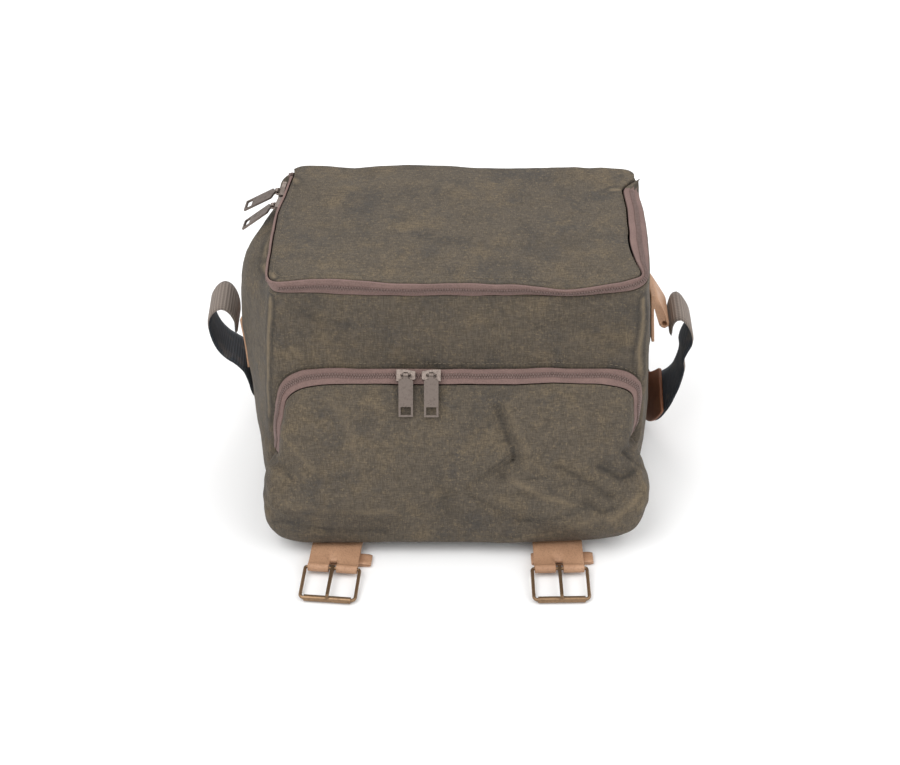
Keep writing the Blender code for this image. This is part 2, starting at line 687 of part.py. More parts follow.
def smooth_route(rows, steps):
    """Points, with their turn, on a smooth curve through the rows of the strap's route."""
    deep = STRAP_BEHIND - LOOP_DEPTH
    line = [(Vector((r.out * SIDE_REACH, LOOP_DEPTH + r.back * deep, r.up * LOOP_HEIGHT)), r.turn)
            for r in rows]
    points = []
    for i in range(len(line) - 1):
        p0, t0 = line[max(0, i - 1)]
        p1, t1 = line[i]
        p2, t2 = line[i + 1]
        p3, t3 = line[min(len(line) - 1, i + 2)]
        for step in range(steps):
            t = step / steps
            bend = ((p1 * 2 + (p2 - p0) * t + (p0 * 2 - p1 * 5 + p2 * 4 - p3) * t ** 2
                     + (p1 * 3 - p0 - p2 * 3 + p3) * t ** 3) / 2)
            points.append((bend, t1 * (1 - t) + t2 * t))
    points.append(line[-1])
    return points


def webbing_frames(points):
    """For each point of a route: the point, the way across the webbing and its face's way."""
    frames = []
    for i, (at, turn) in enumerate(points):
        run = points[min(i + 1, len(points) - 1)][0] - points[max(i - 1, 0)][0]
        run.normalize()
        angle = math.radians(turn)
        across = Vector((0.0, math.cos(angle), math.sin(angle)))
        across = (across - run * across.dot(run)).normalized()
        frames.append((at, across, run.cross(across)))
    return frames


def make_ribbon(name, frames, width, thickness, offset, finish):
    """A flat band along frames, offset along its face from their line."""
    mesh = bmesh.new()
    rings = []
    for at, across, face in frames:
        middle = at + face * offset
        rings.append([middle + across * width / 2 * u + face * thickness / 2 * v
                      for u, v in ((-1, -1), (1, -1), (1, 1), (-1, 1))])
    rows = [[mesh.verts.new(point) for point in ring] for ring in rings]
    for near, far in zip(rows, rows[1:]):
        for i in range(4):
            j = (i + 1) % 4
            if i == 0:          # so that both sides of the band bend along the same lines
                mesh.faces.new((near[i], near[j], far[i]))
                mesh.faces.new((near[j], far[j], far[i]))
            else:
                mesh.faces.new((near[i], near[j], far[j]))
                mesh.faces.new((near[i], far[j], far[i]))
    mesh.faces.new(list(reversed(rows[0])))
    mesh.faces.new(rows[-1])
    bmesh.ops.recalc_face_normals(mesh, faces=mesh.faces)
    return finish_solid(name, mesh, finish)


def arc(middle, radius, start, end, steps):
    """Points on an arc, angles in degrees."""
    points = []
    for step in range(steps + 1):
        angle = math.radians(start + (end - start) * step / steps)
        points.append((middle[0] + radius * math.cos(angle), middle[1] + radius * math.sin(angle)))
    return points


def extruded(name, outlines, width, axes, finish):
    """A flat outline with its holes, made thick. axes turns outline x, y and thickness."""
    curve = bpy.data.curves.new(name, "CURVE")
    curve.dimensions = "2D"
    curve.fill_mode = "BOTH"
    curve.extrude = width / 2
    for outline in outlines:
        spline = curve.splines.new("POLY")
        spline.points.add(len(outline) - 1)
        for point, (x, y) in zip(spline.points, outline):
            point.co = (x, y, 0.0, 1.0)
        spline.use_cyclic_u = True
    flat = bpy.data.objects.new(name + "_outline", curve)
    bpy.context.scene.collection.objects.link(flat)
    flat.matrix_world = axes.to_4x4()
    return as_mesh(name, flat, finish)


def as_mesh(name, shape, finish):
    """A mesh part from an evaluated shape, its caps welded, in place of the shape."""
    bpy.context.view_layer.update()
    evaluated = shape.evaluated_get(bpy.context.evaluated_depsgraph_get())
    data = bpy.data.meshes.new_from_object(evaluated)
    data.materials.clear()
    data.transform(shape.matrix_world)
    mesh = bmesh.new()
    mesh.from_mesh(data)
    bmesh.ops.remove_doubles(mesh, verts=mesh.verts, dist=1e-6)
    bmesh.ops.recalc_face_normals(mesh, faces=mesh.faces)
    mesh.to_mesh(data)
    mesh.free()
    bpy.data.objects.remove(shape)
    return link_object(name, data, finish)


def box_mesh(name, low, high):
    """A plain box between two corners, as a cutter."""
    mesh = bmesh.new()
    bmesh.ops.create_cube(mesh, size=1.0)
    size = Vector(high) - Vector(low)
    for vert in mesh.verts:
        vert.co = Vector(low) + Vector([(c + 0.5) * s for c, s in zip(vert.co, size)])
    data = bpy.data.meshes.new(name)
    mesh.to_mesh(data)
    mesh.free()
    part = bpy.data.objects.new(name, data)
    bpy.data.collections["cutters"].objects.link(part)
    part.hide_render = True
    part.display_type = "WIRE"
    return part


def combine(part, other, operation, finish):
    """The mesh of a part cut or joined by another, which is removed."""
    change = part.modifiers.new("change", "BOOLEAN")
    change.operation = operation
    change.object = other
    joined = as_mesh(part.name + "_joined", part, finish)
    bpy.data.objects.remove(other)
    return joined


def wire(name, points, radius, finish, cyclic=False, sides=3):
    """A round wire through points."""
    curve = bpy.data.curves.new(name, "CURVE")
    curve.dimensions = "3D"
    curve.bevel_depth = radius
    curve.bevel_resolution = sides
    curve.use_fill_caps = True
    spline = curve.splines.new("POLY")
    spline.points.add(len(points) - 1)
    for place, point in zip(spline.points, points):
        place.co = (*point, 1.0)
    spline.use_cyclic_u = cyclic
    shape = bpy.data.objects.new(name + "_line", curve)
    bpy.context.scene.collection.objects.link(shape)
    return as_mesh(name, shape, finish)


# Outline planes: x and y of an outline, then its thickness
ALONG_X = Matrix(((0, 0, 1), (1, 0, 0), (0, 1, 0)))     # outline in the Y-Z plane
ALONG_Y = Matrix(((1, 0, 0), (0, 0, -1), (0, 1, 0)))    # outline in the X-Z plane
FLAT = Matrix.Identity(3)


def slider_mesh():
    """A slider with its bail, its origin on the bail's bar, which runs along X."""
    top = -BAIL_RISE
    nose = SLIDER_WIDTH * 0.34
    half = SLIDER_WIDTH / 2
    tail = -SLIDER_LENGTH / 2
    tip = SLIDER_LENGTH / 2
    outline = [(tail, -half), (tail * 0.1, -half), (tip, -nose), (tip, nose),
               (tail * 0.1, half), (tail, half)]
    body = extruded("slider_body", [outline], SLIDER_THICK, FLAT, "zip_metal")
    for vert in body.data.vertices:
        vert.co.z += top - SLIDER_THICK / 2
    foot = BAIL_SPAN / 2
    bar = foot * 0.76
    bail = [(-foot, 0, top - SLIDER_THICK / 3), (-foot, 0, -BAIL_RISE * 0.30),
            (-(foot + bar) / 2, 0, -BAIL_RISE * 0.06), (-bar, 0, 0), (bar, 0, 0),
            ((foot + bar) / 2, 0, -BAIL_RISE * 0.06), (foot, 0, -BAIL_RISE * 0.30),
            (foot, 0, top - SLIDER_THICK / 3)]
    loop = wire("slider_bail", bail, BAIL_WIRE, "zip_metal", sides=2)
    return combine(body, loop, "UNION", "zip_metal")


def pull_mesh():
    """A pull with its eye round the bar. It hangs along -Z, its face towards -Y."""
    half = PULL_WIDTH / 2
    end = -PULL_LENGTH
    neck = EYE_LENGTH / 2
    shoulder = -(BAIL_WIRE + SLIDE_CLEAR + EYE_WALL) - 0.0022
    outline = [(-neck, -BAIL_WIRE * 2.2), (-neck, shoulder + 0.0012), (-half * 0.92, shoulder),
               (-half, shoulder - 0.0010), (-half, end), (half, end),
               (half, shoulder - 0.0010), (half * 0.92, shoulder), (neck, shoulder + 0.0012),
               (neck, -BAIL_WIRE * 2.2)]
    low = end + PULL_RIM
    wide = WINDOW_WIDTH / 2
    window = [(-wide, low), (wide, low), (wide, low + WINDOW_LENGTH), (-wide, low + WINDOW_LENGTH)]
    plate = extruded("pull_plate", [outline, window], PULL_THICK, ALONG_Y, "zip_metal")
    outer = arc((0, 0), BAIL_WIRE + SLIDE_CLEAR + EYE_WALL, 0, 330, 11)
    eye = extruded("pull_eye", [outer], EYE_LENGTH * 0.96, ALONG_X, "zip_metal")
    joined = combine(plate, eye, "UNION", "zip_metal")
    bore = arc((0, 0), BAIL_WIRE + SLIDE_CLEAR, 0, 324, 9)
    drill = extruded("pull_bore", [bore], EYE_LENGTH * 1.5, ALONG_X, "zip_metal")
    return combine(joined, drill, "DIFFERENCE", "zip_metal")


def placed(name, pattern, matrix):
    """A copy of a pattern part, with its origin and turn from a matrix."""
    part = bpy.data.objects.new(name, pattern.data)
    bpy.data.collections["camera_shoulder_bag"].objects.link(part)
    part.matrix_world = matrix
    return part


def frame_matrix(origin, axis_x, axis_z):
    """A placing matrix with its X along one way and its Z near another."""
    x = axis_x.normalized()
    z = (axis_z - x * axis_z.dot(x)).normalized()
    y = z.cross(x)
    turn = Matrix((x, y, z)).transposed().to_4x4()
    turn.translation = origin
    return turn


SliderRow = namedtuple("SliderRow", "name tape along hang_x hang_y hang_z turned")
# Along is a share of the tape's rows. The hang columns point down the pull from its bar.
SLIDERS = (
    SliderRow("lid_rear", "lid", 0.052, -0.81, 0.00, -0.58, 1),
    SliderRow("lid_front", "lid", 0.083, -0.74, 0.00, -0.66, -1),
    SliderRow("pocket_left", "pocket", 0.568, 0.00, -0.46, -0.89, -1),
    SliderRow("pocket_right", "pocket", 0.529, 0.00, -0.48, -0.88, 1),
)


def make_sliders(tapes):
    """Four sliders on their tapes, each with its pull hanging from the bail."""
    slider = slider_mesh()
    pull = pull_mesh()
    for row in SLIDERS:
        rows = tapes[row.tape]
        at = row.along * (len(rows) - 1)
        first = int(at)
        share = at - first
        middle = rows[first][2].lerp(rows[first + 1][2], share)
        run = (rows[first + 1][2] - rows[first][2]).normalized()
        across = (rows[first][0] - rows[first][-1]).normalized()
        normal = across.cross(run).normalized()
        seat = 3 * CLEAR + SLIDER_THICK + BAIL_RISE
        origin = middle + normal * seat
        matrix = frame_matrix(origin, run * row.turned, normal)
        placed("slider_" + row.name, slider, matrix)
        hang = Vector((row.hang_x, row.hang_y, row.hang_z))
        placed("pull_" + row.name, pull, frame_matrix(origin, run, -hang))
    bpy.data.objects.remove(slider)
    bpy.data.objects.remove(pull)


BuckleRow = namedtuple("BuckleRow", "name root_x yaw keeper_shift")
BUCKLES = (
    BuckleRow("left", -0.0820, -5.5, 0.0040),
    BuckleRow("right", 0.0772, 1.2, 0.0030),
)

BAR_HEIGHT = STRAP_LIFT + STRAP_THICK / 2
ROLLER_HEIGHT = ROLLER_RADIUS + CLEAR
FRAME_RUN = BUCKLE_LENGTH - BUCKLE_WIRE - ROLLER_RADIUS
FRAME_TILT = math.asin((ROLLER_HEIGHT - BAR_HEIGHT) / FRAME_RUN)


def strap_outline(root):
    """A folded strap from the side, from its sewn end to the fold round the bar."""
    radius = BUCKLE_WIRE + SLIDE_CLEAR + FOLD_WALL
    half = STRAP_THICK / 2
    cut = math.degrees(math.asin(half / radius))
    outer = [(root, -half)] + arc((0, 0), radius, -cut, -360 + cut, 14) + [(root, half)]
    hole = arc((0, 0), BUCKLE_WIRE + SLIDE_CLEAR, 0, 330, 11)
    return [outer, hole]


def make_buckle_strap(row, spot):
    """The folded leather strap, sewn in under the front, with a slot for the tongue."""
    rise = STRAP_LIFT + STRAP_THICK + CLEAR
    under = BASE_ROUND * (1 - math.sin(math.acos(1 - rise / BASE_ROUND)))
    skew = STRAP_WIDTH / 2 * abs(math.sin(math.radians(row.yaw)))
    root = STRAP_REACH + under - skew - 2 * CLEAR
    strap = extruded("strap_blank", strap_outline(root), STRAP_WIDTH, ALONG_X, "tan_leather")
    reach = BUCKLE_WIRE + SLIDE_CLEAR + FOLD_WALL
    slot = box_mesh("slot", (-TONGUE_SLOT / 2, -reach * 1.5, -reach * 1.5),
                    (TONGUE_SLOT / 2, SLOT_BACK, reach * 1.5))
    strap = combine(strap, slot, "DIFFERENCE", "tan_leather")
    placed("buckle_strap_" + row.name, strap, spot)
    bpy.data.objects.remove(strap)


def make_buckle_frame(row, spot):
    """The buckle's wire frame, its origin on the bar in the leather's fold."""
    half = BUCKLE_WIDTH / 2 - BUCKLE_WIRE
    points = arc((half - BAR_ROUND, -BAR_ROUND), BAR_ROUND, 0, 90, 4)
    points += arc((BAR_ROUND - half, -BAR_ROUND), BAR_ROUND, 90, 180, 4)
    far = -FRAME_RUN
    points += arc((BUCKLE_ROUND - half, far + BUCKLE_ROUND), BUCKLE_ROUND, 180, 270, 4)
    points += arc((half - BUCKLE_ROUND, far + BUCKLE_ROUND), BUCKLE_ROUND, 270, 360, 4)
    tilt = -FRAME_TILT
    line = [(x, y * math.cos(tilt), y * math.sin(tilt)) for x, y in points]
    frame = wire("frame_blank", line, BUCKLE_WIRE, "brass", cyclic=True, sides=2)
    placed("buckle_frame_" + row.name, frame, spot)
    bpy.data.objects.remove(frame)


def make_tongue(row, spot):
    """The tongue: an eye round the bar and a prong that rests on the roller."""
    eye = BUCKLE_WIRE + SLIDE_CLEAR + 0.0009
    seat = ROLLER_HEIGHT - BAR_HEIGHT + ROLLER_RADIUS + CLEAR
    start = math.degrees(math.asin(min(0.95, (seat - CLEAR) / eye)))
    far = -FRAME_RUN
    outline = arc((0, 0), eye, 100, -180 - start, 15)
    outline += [(far + 0.002, seat), (far - 0.0016, seat), (far - 0.0020, seat + 0.0008),
                (far + 0.0010, seat + TONGUE_THICK), (-eye, eye * 0.98)]
    hole = arc((0, 0), BUCKLE_WIRE + SLIDE_CLEAR, 0, 330, 11)
    tongue = extruded("tongue_blank", [outline, hole], TONGUE_WIDTH, ALONG_X, "brass")
    placed("buckle_tongue_" + row.name, tongue, spot)
    bpy.data.objects.remove(tongue)


def make_roller(row, spot):
    """The roller, a thin tube that turns on the frame's far bar."""
    length = BUCKLE_WIDTH - 2 * BUCKLE_WIRE - 2 * BUCKLE_ROUND
    outer = arc((0, 0), ROLLER_RADIUS, 0, 337.5, 15)
    hole = arc((0, 0), ROLLER_RADIUS - ROLLER_WALL, 0, 330, 11)
    roller = extruded("roller_blank", [outer, hole], length, ALONG_X, "brass")
    y = -FRAME_RUN * math.cos(FRAME_TILT)
    place = Matrix.Translation((0, y, ROLLER_HEIGHT - BAR_HEIGHT))
    placed("buckle_roller_" + row.name, roller, spot @ place)
    bpy.data.objects.remove(roller)


def make_keeper(row, spot):
    """The keeper, a loose leather loop lying flat under the strap and wider than it."""
    low = CLEAR - BAR_HEIGHT
    high = STRAP_LIFT - CLEAR - BAR_HEIGHT
    radius = (high - low) / 2
    middle = (high + low) / 2
    end = KEEPER_WIDTH / 2 - radius
    outlines = []
    for size in (radius, radius - KEEPER_WALL):
        outline = arc((row.keeper_shift + end, middle), size, -90, 90, 4)
        outline += arc((row.keeper_shift - end, middle), size, 90, 270, 4)
        outlines.append(outline)
    keeper = extruded("keeper_blank", outlines, KEEPER_LENGTH, ALONG_Y, "tan_leather")
    place = spot @ Matrix.Translation((0, KEEPER_PLACE, 0))
    placed("strap_keeper_" + row.name, keeper, place)
    bpy.data.objects.remove(keeper)


def make_buckles():
    """Both buckle straps, laid on the floor in front of the bag."""
    for row in BUCKLES:
        root = Matrix.Translation((row.root_x, -BODY_DEPTH / 2, BAR_HEIGHT))
        turn = Matrix.Rotation(math.radians(row.yaw), 4, "Z")
        spot = root @ turn @ Matrix.Translation((0, -STRAP_REACH, 0))
        make_buckle_strap(row, spot)
        make_buckle_frame(row, spot)
        make_tongue(row, spot)
        make_roller(row, spot)
        make_keeper(row, spot)


def wall_at(side, y, share):
    """The point of the body's left or right wall at a depth and a share of its height."""
    heights = [section.height for section in BODY_SECTIONS]
    over = next(height for height in heights[1:] if height >= share)
    under = heights[heights.index(over) - 1]
    spots = []
    for height in (under, over):
        line = [point for p, point in zip(section_loop(BODY_SECTIONS[0]), wall_loop(height))
                if side + CORNER_SHARE <= p.place < side + 1]
        if line[0].y > line[-1].y:
            line.reverse()
        near = next(i for i in range(1, len(line)) if line[i].y >= y)
        t = (y - line[near - 1].y) / (line[near].y - line[near - 1].y)
        spots.append(line[near - 1].lerp(line[near], t))
    return spots[0].lerp(spots[1], (share - under) / (over - under))


def grid_lines(low, high, marks):
    """Places from low to high, with the marks that lie between them."""
    return [low] + sorted(mark for mark in marks if low < mark < high) + [high]


def tab_depths(side):
    """Depths across a side tab, with the body's own points between, so both bend alike."""
    marks = [p.at.y for p in section_loop(section_at(0.63))
             if side + CORNER_SHARE < p.place < side + 1]
    return grid_lines(LOOP_DEPTH - TAB_WIDTH / 2, LOOP_DEPTH + TAB_WIDTH / 2, marks)


def make_left_tab():
    """The leather tab sewn flat on the left side, following its bulge."""
    mesh = bmesh.new()
    rows = []
    heights = [section.height for section in BODY_SECTIONS]
    for share in grid_lines(TAB_LOW, TAB_HIGH, heights):
        out = Vector((-LEATHER_THICK - 2 * CLEAR, 0.0, 0.0))
        rows.append([wall_at(0, y, share) + out for y in reversed(tab_depths(0))])
    add_strip(mesh, rows)
    return finish_sheet("side_tab_left", mesh, "tan_leather", LEATHER_THICK, even=False)


def right_tab_outline(y):
    """The right tab from the front: sewn down the side, with a fold reaching out and down."""
    gap = 2 * CLEAR
    root = [wall_at(2, y, share) for share in (0.70, 0.63, 0.50)]
    inner = [Vector((point.x + gap, point.z)) for point in root]
    top = inner[0] + Vector((LEATHER_THICK * 2, 0.0))
    tip = Vector((TAB_REACH, inner[1].y - 0.0105))
    radius = TUNNEL_RADIUS + LEATHER_THICK * 0.85
    ends = [Vector(spot) for spot in arc(tip, radius, 25, -165, 7)]
    crook = inner[1].lerp(inner[0], 0.30) + Vector((LEATHER_THICK, 0.0))
    tail = [inner[1] + Vector((LEATHER_THICK, -0.0020)), inner[2] + Vector((LEATHER_THICK, 0.0))]
    return [inner[0], top] + ends + [crook] + tail + [inner[2], inner[1]], tip


def make_right_tab():
    """The folded leather tab on the right side, with the tunnel through its fold."""
    mesh = bmesh.new()
    rings = []
    for y in tab_depths(2):
        outline, tip = right_tab_outline(y)
        rings.append([Vector((x, y, z)) for x, z in outline])
    rows = add_rings(mesh, rings)
    mesh.faces.new(list(reversed(rows[0])))
    mesh.faces.new(rows[-1])
    bmesh.ops.recalc_face_normals(mesh, faces=mesh.faces)
    blank = finish_solid("tab_blank", mesh, "tan_leather")
    drill = extruded("tunnel", [arc((0, 0), TUNNEL_RADIUS, 0, 330, 11)], TAB_WIDTH * 1.5, ALONG_Y,
                     "tan_leather")
    drill.data.transform(Matrix.Translation((tip.x, LOOP_DEPTH, tip.y)))
    tab = combine(blank, drill, "DIFFERENCE", "tan_leather")
    tab.name = "side_tab_right"


def make_shoulder_strap():
    """The shoulder strap's webbing and the leather sewn to it low on the right."""
    frames = webbing_frames(smooth_route(STRAP_ROUTE, ROUTE_STEPS))
    make_ribbon("shoulder_strap", frames, WEBBING_WIDTH, WEBBING_THICK, 0.0, "webbing")
    first, last = PATCH_ROWS
    offset = (WEBBING_THICK + LEATHER_THICK) / 2 + PATCH_GAP
    make_ribbon("strap_patch", frames[first * ROUTE_STEPS:last * ROUTE_STEPS + 1], PATCH_WIDTH,
                LEATHER_THICK, offset, "brown_leather")


def make_finishes():
    """One material for each finish."""
    for name, (red, green, blue, roughness, metallic) in FINISHES.items():
        material = bpy.data.materials.new(name)
        material.use_nodes = True
        shader = material.node_tree.nodes["Principled BSDF"]
        shader.inputs["Base Color"].default_value = (red, green, blue, 1.0)
        shader.inputs["Roughness"].default_value = roughness
        shader.inputs["Metallic"].default_value = metallic


def main():
    """Clear the scene and make the bag."""
    for old in list(bpy.data.objects):
        bpy.data.objects.remove(old)
    for name in ("camera_shoulder_bag", "cutters"):
        bpy.context.scene.collection.children.link(bpy.data.collections.new(name))
    make_finishes()
    make_body_shell()
    make_lid_panel()
    lid_rows = lid_tape_rows()
    pocket_rows = pocket_tape_rows()
    make_tape("lid_zip", lid_rows)
    make_pocket_shell()
    make_tape("pocket_zip", pocket_rows)
    make_sliders({"lid": lid_rows, "pocket": pocket_rows})
    make_buckles()
    make_left_tab()
    make_right_tab()
    make_shoulder_strap()


main()
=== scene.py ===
"""Dresses the camera shoulder bag: worn waxed canvas, leather, aged brass, zips and webbing."""
import math

import bmesh
import bpy
from mathutils import Matrix, Vector, noise
from mathutils.bvhtree import BVHTree


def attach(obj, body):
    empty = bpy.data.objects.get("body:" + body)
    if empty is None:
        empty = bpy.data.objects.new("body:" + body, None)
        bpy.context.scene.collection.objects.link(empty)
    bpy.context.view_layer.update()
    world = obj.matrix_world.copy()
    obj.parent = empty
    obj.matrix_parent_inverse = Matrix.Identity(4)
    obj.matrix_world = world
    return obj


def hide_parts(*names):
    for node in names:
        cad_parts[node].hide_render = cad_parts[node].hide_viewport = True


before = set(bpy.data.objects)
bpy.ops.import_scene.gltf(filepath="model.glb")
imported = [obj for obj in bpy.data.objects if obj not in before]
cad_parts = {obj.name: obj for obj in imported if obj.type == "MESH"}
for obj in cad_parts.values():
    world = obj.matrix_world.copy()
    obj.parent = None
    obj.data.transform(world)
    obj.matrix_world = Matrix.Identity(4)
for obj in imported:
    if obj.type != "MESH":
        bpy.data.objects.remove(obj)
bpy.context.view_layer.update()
bpy.ops.object.select_all(action="DESELECT")

# the view: a lens of 2026 pixels, looking down at 38 degrees
TARGET = Vector((-0.002, -0.020, 0.0861))
DISTANCE = 1.537
ELEVATION = math.radians(38)
FOCAL = 2026.0
BACK = Vector((0.0, -math.cos(ELEVATION), math.sin(ELEVATION)))
EYE = TARGET + BACK * DISTANCE

# the lines of the two zips, in millimetres
LID_ZIP = (
    (-122.0, 63.9, 224.1), (-123.0, 44.5, 217.2), (-126.1, 23.6, 214.6), (-128.5, 2.5, 213.6),
    (-130.2, -18.7, 212.9), (-131.5, -40.0, 212.4), (-132.3, -61.2, 212.4), (-119.0, -74.4, 212.2),
    (-97.7, -74.5, 212.2), (-76.4, -74.5, 211.9), (-55.2, -74.5, 211.5), (-33.9, -74.5, 210.7),
    (-12.6, -74.5, 210.4), (8.7, -74.5, 210.3), (30.0, -74.5, 210.3), (51.3, -74.5, 209.4),
    (72.5, -74.5, 208.4), (93.8, -74.4, 209.0), (114.9, -74.1, 211.8), (134.2, -69.3, 215.4),
    (134.6, -48.8, 217.4), (133.5, -27.5, 217.6), (133.7, -6.2, 218.1), (133.4, 15.0, 218.7),
    (132.6, 36.3, 219.2), (133.6, 42.0, 219.3))
POCKET_ZIP = (
    (132.0, -76.2, 83.7), (134.7, -80.9, 95.2), (135.8, -79.2, 109.7), (134.4, -78.0, 124.4),
    (124.0, -78.6, 134.2), (109.8, -77.7, 137.5), (95.0, -78.2, 137.7), (65.4, -78.7, 137.7),
    (35.8, -78.8, 137.7), (6.2, -78.8, 137.7), (-23.4, -78.8, 137.7), (-53.0, -78.7, 137.7),
    (-82.6, -78.1, 137.7), (-97.4, -78.4, 137.5), (-111.8, -78.8, 134.4), (-123.1, -78.8, 125.4),
    (-126.8, -79.9, 111.2), (-129.0, -81.4, 96.6), (-130.4, -82.3, 81.9), (-131.9, -76.3, 69.8))

# the webbing's middle line, in millimetres, and the way across it
WEBBING_ROUTE = (
    (-164.3, 20, 116.1, 0, 1, 0), (-164.5, 20, 125.9, 0, 1, 0), (-168, 20, 134.8, 0, 1, 0),
    (-173.5, 20, 138.9, 0, 1, 0), (-179.5, 20, 135.9, 0, 1, 0), (-183.5, 20, 129, 0, 1, 0),
    (-184.4, 20, 120, 0, 1, 0), (-182.6, 20, 109.9, 0, 1, 0), (-178.9, 20, 100.4, 0, 1, 0),
    (-173.3, 20, 93, 0, 1, 0), (-166.9, 20, 87.8, -.015, 1, .013),
    (-161.5, 20.5, 81.7, -.045, .993, .108), (-158.4, 22.1, 73.9, -.024, .951, .309),
    (-157.3, 26, 65.5, -.002, .873, .488), (-156.3, 32, 56.4, .006, .779, .627),
    (-154.5, 41, 47, .015, .668, .744), (-152.4, 52, 38.5, .03, .554, .832),
    (-148.9, 65, 31, .07, .415, .907), (-141, 82, 24.5, .079, .199, .977),
    (-122.1, 105, 20.9, .045, .037, .998), (-86.9, 125, 20, .009, .003, 1),
    (-44.4, 135, 19.7, 0, 0, 1), (0, 138, 19.7, 0, 0, 1), (44.4, 135, 19.7, 0, 0, 1),
    (86.9, 125, 19.7, -.003, .001, 1), (122.1, 107.3, 20, -.004, .002, 1),
    (143.4, 89.6, 20, 0, 0, 1), (152.4, 75, 20, .005, -.011, 1), (157.1, 60, 20, -.013, .075, .997),
    (158.5, 44.7, 23.1, .003, .37, .929), (162.1, 31.7, 31.7, 0, .71, .704),
    (167.4, 22.9, 44.8, .007, .921, .39), (173, 20, 58, .011, .996, .083), (176.5, 20, 70.1, 0, 1, 0),
    (178, 20, 81, 0, 1, 0), (177, 20, 89.9, 0, 1, 0), (179.3, 20, 98.1, 0, 1, 0),
    (182.4, 20, 106.1, 0, 1, 0), (180.9, 20, 115.9, 0, 1, 0), (177, 20, 124.1, 0, 1, 0),
    (172.4, 20, 128.9, 0, 1, 0), (168.2, 20, 127.2, 0, 1, 0), (166.1, 20, 120.2, 0, 1, 0),
    (165.8, 20, 111.9, 0, 1, 0))
WEBBING_WIDTH = 0.038
WEBBING_THICK = 0.0024

# folds of the cloth: pixels along the fold, height (negative is a dent) and half width in mm
FOLDS = (
    (((497, 408), (508, 440), (514, 458), (501, 483)), -2.6, 4.5),
    (((507, 404), (524, 446), (528, 470)), 1.8, 6.0),
    (((514, 480), (545, 497), (575, 506)), 2.2, 6.0),
    (((499, 542), (568, 530), (600, 517)), 2.0, 6.0),
    (((612, 520), (628, 506), (640, 490)), 2.2, 6.0),
    (((600, 470), (622, 480), (638, 470)), -2.4, 6.0),
    (((560, 470), (592, 486), (612, 500)), -1.6, 7.0),
    (((286, 505), (340, 512), (400, 510)), 1.3, 8.0),
    (((276, 522), (330, 530), (392, 534)), -1.5, 7.0),
    (((268, 446), (280, 462), (292, 480)), -2.0, 4.5),
    (((264, 436), (272, 450), (286, 462)), 1.6, 3.0),
    (((266, 462), (276, 472), (290, 480)), 1.4, 3.0),
    (((641, 412), (640, 432), (632, 452)), 2.2, 4.0),
    (((626, 452), (634, 460), (644, 466)), -2.6, 3.5),
    (((640, 476), (646, 492), (640, 508)), 1.6, 6.0),
    (((585, 505), (604, 512), (616, 508)), -2.0, 4.0),
    (((520, 522), (560, 518), (592, 506)), -1.6, 5.0),
    (((282, 436), (296, 452), (318, 470)), 1.4, 5.0),
    (((330, 400), (352, 430), (360, 470)), 0.9, 9.0),
    (((430, 470), (446, 492), (450, 520)), -0.9, 9.0),
    (((300, 312), (330, 330), (352, 352)), -0.9, 8.0),
    (((560, 318), (590, 330), (622, 350)), -0.9, 8.0),
    (((330, 190), (400, 182), (470, 190)), 0.9, 9.0),
    (((420, 236), (500, 246), (590, 240)), -0.9, 10.0))
SEAMS = (
    ((284, 166), (290, 176), (297, 182)),
    ((284, 202), (274, 230), (264, 260)),
    ((263, 264), (266, 272), (274, 276)),
    ((612, 190), (630, 190), (646, 190)),
    ((269, 298), (268, 340), (266, 380), (268, 420)),
    ((643, 300), (642, 330), (639, 352), (641, 376)))
HARD_SPOTS = ((-130, 40, 217, 24), (-25, -84, 143, 20), (-164, 20, 105, 22), (160, 20, 118, 24),
              (-88, -100, 6, 34), (79, -100, 6, 34), (-91, -127, 32, 30), (80, -127, 32, 30))


# ---------------------------------------------------------------- shader arithmetic
class Wire:
    """One output or number of a finish, so that its maths reads as arithmetic."""

    def __init__(self, finish, socket):
        self.finish = finish
        self.socket = socket

    def maths(self, operation, *others, clamp=False):
        return self.finish.node("ShaderNodeMath", {"operation": operation, "use_clamp": clamp},
                                dict(enumerate((self,) + others)))

    def __add__(self, other):
        return self.maths("ADD", other)

    def __sub__(self, other):
        return self.maths("SUBTRACT", other)

    def __mul__(self, other):
        return self.maths("MULTIPLY", other)

    def __rsub__(self, other):
        return self.finish.node("ShaderNodeMath", {"operation": "SUBTRACT"}, {0: other, 1: self})

    __radd__ = __add__
    __rmul__ = __mul__

    def step(self, low, high):
        """0 below low, 1 above high and smooth between them."""
        return self.finish.node("ShaderNodeMapRange", {"interpolation_type": "SMOOTHSTEP"},
                                {"Value": self, "From Min": low, "From Max": high})


